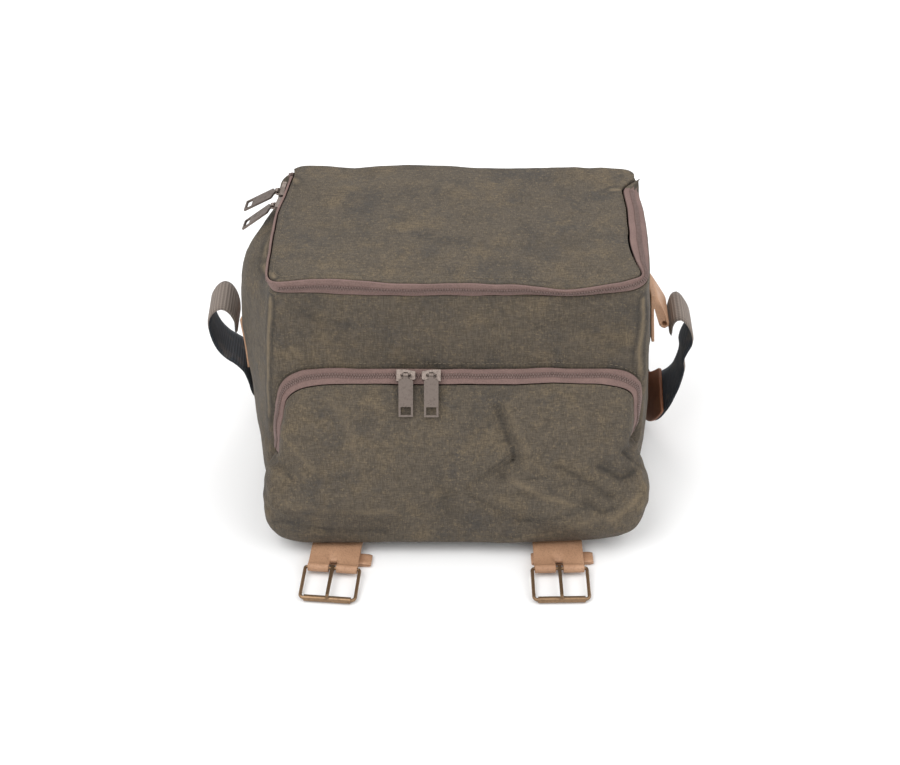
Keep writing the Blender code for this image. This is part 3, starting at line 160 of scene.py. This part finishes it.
class Finish:
    """A material whose nodes are added by one method."""

    def __init__(self, name, roughness=0.8, metallic=0.0):
        self.material = bpy.data.materials.new(name)
        self.material.use_nodes = True
        self.tree = self.material.node_tree
        self.shader = self.tree.nodes["Principled BSDF"]
        self.shader.inputs["Roughness"].default_value = roughness
        self.shader.inputs["Metallic"].default_value = metallic

    def node(self, kind, settings=None, values=None, output=0):
        made = self.tree.nodes.new(kind)
        for name, value in (settings or {}).items():
            setattr(made, name, value)
        for key, value in (values or {}).items():
            if isinstance(value, Wire):
                self.tree.links.new(value.socket, made.inputs[key])
            else:
                made.inputs[key].default_value = value
        return Wire(self, made.outputs[output])

    def place(self, scale=(1, 1, 1), turn=(0, 0, 0)):
        spot = self.node("ShaderNodeTexCoord", output="Object")
        return self.node("ShaderNodeMapping", {}, {"Vector": spot, "Scale": scale,
                                                   "Rotation": turn})

    def cloud(self, size, detail=4.0, scale=(1, 1, 1), roughness=0.55):
        return self.node("ShaderNodeTexNoise", {}, {
            "Vector": self.place(scale), "Scale": size, "Detail": detail,
            "Roughness": roughness})

    def tint(self, amount, first, second):
        return self.node("ShaderNodeMix", {"data_type": "RGBA"}, {
            0: amount, 6: first if isinstance(first, Wire) else (*first, 1),
            7: second if isinstance(second, Wire) else (*second, 1)}, 2)

    def attribute(self, name):
        return self.node("ShaderNodeAttribute", {"attribute_name": name}, {}, 2)

    def bump(self, height, depth, strength=1.0):
        return self.node("ShaderNodeBump", {}, {"Height": height, "Distance": depth,
                                                "Strength": strength})

    def give(self, socket, wire):
        self.tree.links.new(wire.socket, self.shader.inputs[socket])


def make_canvas(name, base, pale, dark):
    """Waxed canvas: slubby threads both ways, rubbed highlights, slate patches, worn seams, painted
    highlight on fold ridges and painted shade in dents and beside seams.
    """
    cloth = Finish(name, 0.86)
    cloth.shader.inputs["Sheen Weight"].default_value = 0.02
    cloth.shader.inputs["Specular IOR Level"].default_value = 0.25
    across = cloth.cloud(1.0, 2.0, (170, 1500, 1500))
    upright = cloth.cloud(1.0, 2.0, (1500, 420, 170))
    threads = across * 0.5 + upright * 0.5
    rubbed = cloth.cloud(34.0, 8.0, roughness=0.74).step(0.47, 0.66)
    slate = cloth.cloud(30.0, 7.0, roughness=0.70).step(0.48, 0.66)
    streaks = cloth.cloud(1.0, 5.0, (46, 46, 150), 0.7).step(0.50, 0.68)
    grit = cloth.cloud(430.0, 4.0, roughness=0.8)
    colour = cloth.tint(slate * 0.60, base, dark)
    colour = cloth.tint(rubbed * 0.50, colour, pale)
    colour = cloth.tint(streaks * 0.34, colour, tuple(v * 0.55 for v in base))
    colour = cloth.tint(threads.step(0.42, 0.58) * 0.50, colour,
                        tuple(v * 0.34 for v in base))
    colour = cloth.tint(grit.step(0.53, 0.66) * 0.46, colour, tuple(v * 1.15 for v in pale))
    # lighter than the pale tone: painted highlight on fold ridges and wear along seams
    colour = cloth.tint(cloth.attribute("wear_and_highlight") * 0.55, colour, tuple(v * 1.40 for v in pale))
    # painted shade: near black in fold dents and in the groove beside each seam
    colour = cloth.tint(cloth.attribute("painted_shade") * 0.70, colour, (0.018, 0.017, 0.016))
    cloth.give("Base Color", colour)
    cloth.give("Roughness", rubbed * 0.10 + 0.78)
    cloth.give("Normal", cloth.bump(threads + grit * 0.6, 0.0007, 0.9))
    return cloth.material


def make_leather(name, base, dark, size=900.0):
    """Natural leather: fine pores, soft clouds of colour and darker rubbed places."""
    hide = Finish(name, 0.58)
    clouds = hide.cloud(45.0, 5.0)
    pores = hide.node("ShaderNodeTexVoronoi", {"feature": "F1"}, {
        "Vector": hide.place(), "Scale": size}, 0)
    colour = hide.tint(clouds.step(0.40, 0.68) * 0.7, base, dark)
    colour = hide.tint(pores.step(0.50, 0.85) * 0.28, colour, tuple(v * 0.5 for v in dark))
    # lighter on ridges, from the same mask as the canvas: wear and painted highlight
    colour = hide.tint(hide.attribute("wear_and_highlight") * 0.5, colour, tuple(v * 1.25 for v in base))
    hide.give("Base Color", colour)
    hide.give("Roughness", clouds * 0.3 + 0.44)
    hide.give("Normal", hide.bump(pores, 0.0004, 0.4))
    return hide.material


def make_tape(name, base):
    """Zip tape: a close herringbone of fine threads."""
    tape = Finish(name, 0.82)
    threads = tape.cloud(1.0, 2.0, (1500, 1500, 700))
    clouds = tape.cloud(60.0, 4.0)
    colour = tape.tint(threads.step(0.42, 0.60) * 0.5, base, tuple(v * 0.55 for v in base))
    colour = tape.tint(clouds.step(0.45, 0.70) * 0.4, colour, tuple(v * 1.25 for v in base))
    tape.give("Base Color", colour)
    tape.give("Normal", tape.bump(threads, 0.0003, 0.5))
    return tape.material


def make_metal(name, base, dark, roughness):
    """Aged plated metal: dull patches, brighter rubbed spots and fine scratches."""
    metal = Finish(name, roughness, 0.92)
    patina = metal.cloud(420.0, 5.0, roughness=0.65)
    scratches = metal.cloud(1.0, 2.0, (2600, 300, 900))
    metal.give("Base Color", metal.tint(patina.step(0.46, 0.70) * 0.45, base, dark))
    metal.give("Roughness", patina * 0.35 + scratches * 0.12 + (roughness - 0.18))
    metal.give("Normal", metal.bump(patina + scratches * 0.3, 0.0002, 0.35))
    return metal.material


def make_webbing_finish():
    """Ribbed webbing on the piece's own map: grey-brown outside, and dark blue inside, partly the
    back face's own darker colour and partly painted shade.
    """
    band = Finish("webbing_weave", 0.84)
    spot = band.node("ShaderNodeUVMap", {"uv_map": "band"})
    parts = band.node("ShaderNodeSeparateXYZ", {}, {0: spot})
    across = band.node("ShaderNodeSeparateXYZ", {}, {0: spot}, 1)
    ribs = (parts * 2600.0).maths("SINE") * 0.5 + 0.5
    cords = (across * 118.0).maths("SINE") * 0.5 + 0.5
    weave = ribs * 0.6 + cords * 0.4
    clouds = band.cloud(70.0, 4.0)
    inside = across.step(0.99, 1.01)
    outer = band.tint(weave, (0.125, 0.100, 0.082), (0.260, 0.214, 0.184))
    # the inner face's dark blue: a darker back face with painted shade laid into it
    dark_and_shaded_underside = band.tint(weave, (0.020, 0.025, 0.032), (0.064, 0.074, 0.090))
    colour = band.tint(inside, outer, dark_and_shaded_underside)
    colour = band.tint(clouds.step(0.5, 0.75) * 0.25, colour, (0.30, 0.25, 0.20))
    band.give("Base Color", colour)
    band.give("Normal", band.bump(weave, 0.0006, 0.8))
    return band.material


CANVAS = make_canvas("waxed_canvas", (0.096, 0.078, 0.058), (0.172, 0.130, 0.080),
                     (0.044, 0.042, 0.041))
TAN = make_leather("tan_hide", (0.455, 0.262, 0.156), (0.330, 0.178, 0.100))
BROWN = make_leather("brown_hide", (0.260, 0.100, 0.048), (0.150, 0.055, 0.026), 1100.0)
TAPE = make_tape("zip_weave", (0.175, 0.110, 0.096))
COIL = make_metal("zip_coil", (0.150, 0.100, 0.088), (0.090, 0.058, 0.050), 0.55)
COIL.node_tree.nodes["Principled BSDF"].inputs["Metallic"].default_value = 0.0
PEWTER = make_metal("aged_pewter", (0.225, 0.185, 0.162), (0.080, 0.062, 0.054), 0.40)
BRASS = make_metal("aged_brass", (0.270, 0.172, 0.100), (0.110, 0.070, 0.044), 0.38)
WEBBING = make_webbing_finish()
THREAD = make_tape("sewing_thread", (0.135, 0.108, 0.076))


# ---------------------------------------------------------------- places
def tree_of(mesh):
    return BVHTree.FromPolygons([v.co for v in mesh.vertices],
                                [tuple(p.vertices) for p in mesh.polygons])


TREES = {name: tree_of(thing.data) for name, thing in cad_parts.items()}


def at_pixel(x, y):
    """Where the ray of a pixel meets the bag's cloth."""
    up = Vector((0, math.sin(ELEVATION), math.cos(ELEVATION)))
    way = (-BACK + Vector((1, 0, 0)) * ((x - 450) / FOCAL)
           + up * ((382.5 - y) / FOCAL)).normalized()
    hits = [TREES[name].ray_cast(EYE, way) for name in ("pocket_shell", "body_shell", "lid_panel")]
    hits = [hit for hit in hits if hit[0] is not None]
    return min(hits, key=lambda hit: hit[3]) if hits else None


def traced(pixels, steps=8):
    """A line of pixels laid on the cloth: its points and the cloth's mean outward way."""
    points, ways = [], []
    for first, last in zip(pixels, pixels[1:]):
        for k in range(steps):
            share = k / steps
            hit = at_pixel(first[0] + (last[0] - first[0]) * share,
                           first[1] + (last[1] - first[1]) * share)
            if hit:
                points.append(hit[0])
                ways.append(hit[1] if hit[1].dot(BACK) > 0 else -hit[1])
    return points, sum(ways, Vector()).normalized() if ways else BACK


FOLD_LINES = [(*traced(pixels), height / 1000, width / 1000) for pixels, height, width in FOLDS]
SEAM_LINES = [traced(pixels, 14)[0] for pixels in SEAMS]


def nearest(points, p):
    return min(((q - p).length_squared for q in points), default=1.0) ** 0.5


def crumple(p):
    """How the cloth moves at a point: the same for all pieces there, so that they stay together."""
    free = min(1.0, max(0.0, (p.z - 0.006) / 0.020))
    for x, y, z, reach in HARD_SPOTS:
        gap = (p - Vector((x, y, z)) / 1000).length
        free *= min(1.0, max(0.0, (gap * 1000 / reach - 0.55) / 0.45))
    low = min(1.0, max(0.0, (0.130 - p.z) / 0.050)) if p.y < -0.078 else 0.0
    move = noise.noise_vector(p * 19.0) * 0.0017
    move += noise.noise_vector(p * 52.0) * (0.0008 + 0.0007 * low)
    move += noise.noise_vector(Vector((p.x * 90, p.y * 90, p.z * 160))) * (0.0003 + 0.0004 * low)
    for points, way, height, width in FOLD_LINES:
        gap = nearest(points, p)
        if gap < width * 2.6:
            move += way * height * 1.25 * math.exp(-(gap / width) ** 1.5)
    return move * free


def marks(p):
    """How much a point is lightened along a seam, as wear, and on a fold's ridge, as painted
    highlight; and how much painted shade it gets in a fold's dent and in the groove beside a seam.
    """
    wear_and_highlight = painted_shade = 0.0
    for points, _, height, width in FOLD_LINES:
        gap = nearest(points, p)
        if gap < width * 2:
            amount = math.exp(-(gap / (width * 0.36)) ** 2) * min(1.0, abs(height) / 0.0024)
            # fold ridges get painted highlight, fold dents painted shade
            if height > 0:
                wear_and_highlight = max(wear_and_highlight, amount * 0.6)
            else:
                painted_shade = max(painted_shade, amount)
    for points in SEAM_LINES:
        gap = nearest(points, p)
        # along the seam: lighter, as wear; in the groove 4 mm beside it: painted shade
        wear_and_highlight = max(wear_and_highlight, math.exp(-(gap / 0.0016) ** 2))
        painted_shade = max(painted_shade, 0.8 * math.exp(-((gap - 0.0040) / 0.0014) ** 2))
    return wear_and_highlight, painted_shade


# ---------------------------------------------------------------- soft pieces
def link(name, mesh, material):
    thing = bpy.data.objects.new(name, mesh)
    bpy.context.scene.collection.objects.link(thing)
    mesh.materials.clear()
    mesh.materials.append(material)
    return thing


def apply_modifiers(thing):
    bpy.ops.object.select_all(action="DESELECT")
    thing.select_set(True)
    bpy.context.view_layer.objects.active = thing
    for modifier in list(thing.modifiers):
        bpy.ops.object.modifier_apply(modifier=modifier.name)
    thing.select_set(False)


def soft_copy(node, material, levels, cloth=True, crease=60, hold=0.75):
    """A rounder, finer form of a soft solid, crumpled with the cloth round it."""
    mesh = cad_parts[node].data.copy()
    grid = bmesh.new()
    grid.from_mesh(mesh)
    bmesh.ops.remove_doubles(grid, verts=grid.verts, dist=1e-5)
    bmesh.ops.join_triangles(grid, faces=grid.faces, angle_face_threshold=0.5,
                             angle_shape_threshold=0.9)
    creases = grid.edges.layers.float.get("crease_edge") or grid.edges.layers.float.new("crease_edge")
    for edge in grid.edges:
        if len(edge.link_faces) == 2 and edge.calc_face_angle(0) > math.radians(crease):
            edge[creases] = hold
    grid.to_mesh(mesh)
    grid.free()
    piece = link("soft_" + node, mesh, material)
    finer = piece.modifiers.new("finer", "SUBSURF")
    finer.levels = finer.render_levels = levels
    apply_modifiers(piece)
    if cloth:
        crumple_piece(piece)
    smooth(piece)
    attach(piece, "bag")
    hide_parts(node)
    return piece


def lay_down_ends(piece):
    """The tape's rear ends lie down at the rim, and canvas covers it behind its right-hand seam."""
    for vertex in piece.data.vertices:
        if vertex.co.x > 0 and vertex.co.y > 0.040:
            vertex.co.z = min(vertex.co.z, 0.2200)
        elif vertex.co.x < 0 and vertex.co.y > 0.052:
            vertex.co.z = min(vertex.co.z, 0.2205)
    piece.data.materials.append(CANVAS)
    for face in piece.data.polygons:
        if face.center.x > 0 and face.center.y > 0.043:
            face.material_index = 1


def crumple_piece(piece):
    mesh = piece.data
    # masks for the canvas finish: wear and painted highlight on seams and ridges, painted shade in
    # dents and beside seams
    wear_and_highlight_layer = mesh.attributes.new("wear_and_highlight", "FLOAT", "POINT")
    painted_shade_layer = mesh.attributes.new("painted_shade", "FLOAT", "POINT")
    for vertex in mesh.vertices:
        wear_and_highlight, painted_shade = marks(vertex.co)
        wear_and_highlight_layer.data[vertex.index].value = wear_and_highlight
        painted_shade_layer.data[vertex.index].value = painted_shade
        vertex.co = vertex.co + crumple(vertex.co)


def smooth(piece):
    for face in piece.data.polygons:
        face.use_smooth = True


def smooth_line(points, pitch):
    """Points a pitch apart along a smooth line through the given ones."""
    dense = []
    for i in range(len(points) - 1):
        a, b = points[max(i - 1, 0)], points[i]
        c, d = points[i + 1], points[min(i + 2, len(points) - 1)]
        for k in range(24):
            t = k / 24
            dense.append(0.5 * (2 * b + (c - a) * t + (2 * a - 5 * b + 4 * c - d) * t * t
                                + (3 * b - a - 3 * c + d) * t ** 3))
    dense.append(points[-1])
    out, travelled, wanted = [], 0.0, 0.0
    for first, last in zip(dense, dense[1:]):
        run = (last - first).length
        while wanted <= travelled + run and run > 0:
            out.append(first.lerp(last, (wanted - travelled) / run))
            wanted += pitch
        travelled += run
    return out


def pattern_bead(length, width, height):
    """One tooth or stitch, modelled once: a rounded bead with flattened ends."""
    bpy.ops.object.select_all(action="DESELECT")
    bpy.ops.mesh.primitive_uv_sphere_add(segments=8, ring_count=5, radius=0.5)
    bead = bpy.context.object
    bpy.ops.object.mode_set(mode="EDIT")
    bpy.ops.mesh.select_all(action="SELECT")
    bpy.ops.transform.resize(value=(length, width, height), center_override=(0, 0, 0))
    bpy.ops.object.mode_set(mode="OBJECT")
    shape = ([v.co.copy() for v in bead.data.vertices],
             [tuple(p.vertices) for p in bead.data.polygons])
    bpy.data.objects.remove(bead)
    return shape


def lay_beads(name, shape, spots, material):
    """Copies of one bead, each at its point, along its way and on its surface's normal."""
    points, faces = [], []
    for at, along, up in spots:
        side = up.cross(along).normalized()
        along = side.cross(up).normalized()
        turn = Matrix((along, side, up)).transposed()
        start = len(points)
        points += [at + turn @ v for v in shape[0]]
        faces += [tuple(start + i for i in face) for face in shape[1]]
    mesh = bpy.data.meshes.new(name)
    mesh.from_pydata(points, [], faces)
    piece = link(name, mesh, material)
    smooth(piece)
    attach(piece, "bag")
    return piece


def in_metres(line):
    return [Vector(p) / 1000 for p in line]


def on_surface(tree, point, outward):
    hit = tree.find_nearest(point)
    normal = hit[1] if hit[1].dot(outward) > 0 else -hit[1]
    return hit[0], normal


def make_zip(name, line, tape, middle):
    """The closed coil along a tape: two staggered rows of teeth."""
    tree = tree_of(tape.data)
    run = smooth_line(in_metres(line), 0.00095)
    spots = []
    for i in range(1, len(run) - 1):
        point = run[i] + crumple(run[i])
        along = (run[i + 1] - run[i - 1]).normalized()
        at, up = on_surface(tree, point, point - middle)
        side = up.cross(along).normalized()
        spots.append((at + side * (0.0009 if i % 2 else -0.0009) + up * 0.0003, side, up))
    return lay_beads(name, pattern_bead(0.0026, 0.0013, 0.0013), spots, COIL)


def make_stitches(name, line, away, cloth, middle):
    """A row of stitches beside a zip, sunk a little into the cloth."""
    trees = [tree_of(piece.data) for piece in cloth]
    run = smooth_line(in_metres(line), 0.0034)
    spots = []
    for i in range(2, len(run) - 2):
        point = run[i] + crumple(run[i])
        along = (run[i + 1] - run[i - 1]).normalized()
        outward = (point - middle).normalized()
        side = outward.cross(along).normalized()
        wanted = point + side * away
        found = [on_surface(tree, wanted, outward) for tree in trees]
        at, up = min(found, key=lambda f: (f[0] - wanted).length)
        if (at - wanted).length < 0.006:
            spots.append((at + up * 0.0001, along, up))
    return lay_beads(name, pattern_bead(0.0025, 0.0006, 0.0005), spots, THREAD)


def make_webbing():
    """The shoulder strap: a ribbed band with rounded selvedges, mapped along and across."""
    at = smooth_line([Vector(row[:3]) / 1000 for row in WEBBING_ROUTE], 0.0030)
    rows = [(Vector(row[:3]) / 1000, Vector(row[3:])) for row in WEBBING_ROUTE]
    profile = []
    for side, count in ((-1, 9), (1, 9)):
        for k in range(count):
            share = k / (count - 1) * 2 - 1
            across = -share if side > 0 else share
            edge = math.sqrt(max(0.0, 1 - abs(across) ** 14))
            profile.append((across, side * edge, side))
    mesh = bmesh.new()
    layer = mesh.loops.layers.uv.new("band")
    rings, length = [], 0.0
    for i, point in enumerate(at):
        run = (at[min(i + 1, len(at) - 1)] - at[max(i - 1, 0)]).normalized()
        order = sorted(range(len(rows)), key=lambda k: (rows[k][0] - point).length)[:2]
        gaps = [(rows[k][0] - point).length + 1e-6 for k in order]
        across = sum((rows[k][1] / gap for k, gap in zip(order, gaps)), Vector())
        across = (across - run * across.dot(run)).normalized()
        face = run.cross(across)
        length += (point - at[i - 1]).length if i else 0.0
        rings.append(([mesh.verts.new(point + across * u * WEBBING_WIDTH / 2
                                      + face * v * WEBBING_THICK / 2) for u, v, _ in profile],
                      length))
    count = len(profile)
    for (near, start), (far, stop) in zip(rings, rings[1:]):
        for i in range(count):
            j = (i + 1) % count
            made = mesh.faces.new((near[i], near[j], far[j], far[i]))
            # faces on the inner side take the dark blue, which is partly painted shade
            dark_and_shaded_underside = profile[i][2] > 0 and profile[j][2] > 0
            for loop, (k, along) in zip(made.loops, ((i, start), (j, start), (j, stop), (i, stop))):
                loop[layer].uv = (along, (profile[k][0] + 1) / 2 * 0.96 + (1.02 if dark_and_shaded_underside else 0.0))
    mesh.faces.new(list(reversed(rings[0][0])))
    mesh.faces.new(rings[-1][0])
    bmesh.ops.remove_doubles(mesh, verts=mesh.verts, dist=1e-6)
    bmesh.ops.recalc_face_normals(mesh, faces=mesh.faces)
    data = bpy.data.meshes.new("webbing_band")
    mesh.to_mesh(data)
    mesh.free()
    piece = link("webbing_band", data, WEBBING)
    smooth(piece)
    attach(piece, "bag")
    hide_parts("shoulder_strap")
    return piece


# ---------------------------------------------------------------- studio
def make_studio():
    camera = bpy.data.cameras.new("camera")
    camera.sensor_width = 36
    camera.lens = FOCAL / 900 * 36
    holder = bpy.data.objects.new("camera", camera)
    bpy.context.scene.collection.objects.link(holder)
    holder.location = EYE
    holder.rotation_euler = (-BACK).to_track_quat("-Z", "Y").to_euler()
    bpy.context.scene.camera = holder
    bpy.ops.mesh.primitive_plane_add(size=6, location=(0, 0, -0.0004))
    floor = bpy.context.object
    floor.name = "studio_floor"
    ground = Finish("pale_floor", 0.9)
    ground.shader.inputs["Base Color"].default_value = (0.90, 0.90, 0.90, 1)
    floor.data.materials.append(ground.material)
    for name, spot, size, power in (("key", (-0.9, -1.0, 1.9), 1.6, 30),
                                    ("fill", (1.3, -0.7, 1.4), 1.8, 16),
                                    ("back", (0.2, 1.5, 1.6), 1.6, 14)):
        lamp = bpy.data.lights.new(name, "AREA")
        lamp.size = size
        lamp.energy = power
        light = bpy.data.objects.new(name, lamp)
        bpy.context.scene.collection.objects.link(light)
        light.location = spot
        light.rotation_euler = (TARGET - Vector(spot)).to_track_quat("-Z", "Y").to_euler()
    world = bpy.data.worlds.new("studio")
    bpy.context.scene.world = world
    world.use_nodes = True
    world.node_tree.nodes["Background"].inputs["Color"].default_value = (1, 1, 1, 1)
    world.node_tree.nodes["Background"].inputs["Strength"].default_value = 0.75
    bpy.context.scene.view_settings.view_transform = "Standard"


# ---------------------------------------------------------------- the bag
MIDDLE = Vector((0, 0, 0.11))
make_studio()
body = soft_copy("body_shell", CANVAS, 2, hold=1.0)
lid = soft_copy("lid_panel", CANVAS, 2, hold=1.0)
pocket = soft_copy("pocket_shell", CANVAS, 3, hold=1.0)
lid_tape = soft_copy("lid_zip", TAPE, 2, hold=1.0)
pocket_tape = soft_copy("pocket_zip", TAPE, 2, hold=1.0)
lay_down_ends(lid_tape)
for part_name in ("buckle_strap_left", "buckle_strap_right", "strap_keeper_left",
                  "strap_keeper_right", "side_tab_left", "side_tab_right"):
    soft_copy(part_name, TAN, 2, cloth=False, crease=50, hold=0.9)
soft_copy("strap_patch", BROWN, 2, cloth=False, crease=50, hold=0.9)
make_zip("lid_coil", LID_ZIP, lid_tape, MIDDLE)
make_zip("pocket_coil", POCKET_ZIP, pocket_tape, MIDDLE)
make_stitches("lid_stitches_outer", LID_ZIP, 0.0088, (body, lid), MIDDLE)
make_stitches("lid_stitches_inner", LID_ZIP, -0.0088, (body, lid), MIDDLE)
make_stitches("pocket_stitches_outer", POCKET_ZIP, 0.0072, (body, pocket), MIDDLE)
make_stitches("pocket_stitches_inner", POCKET_ZIP, -0.0072, (body, pocket), MIDDLE)
make_webbing()
for node_name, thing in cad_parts.items():
    kind = node_name.split("_")[0]
    if kind in ("slider", "pull") or node_name.startswith(("buckle_frame", "buckle_tongue",
                                                           "buckle_roller")):
        thing.data.materials.clear()
        thing.data.materials.append(PEWTER if kind in ("slider", "pull") else BRASS)
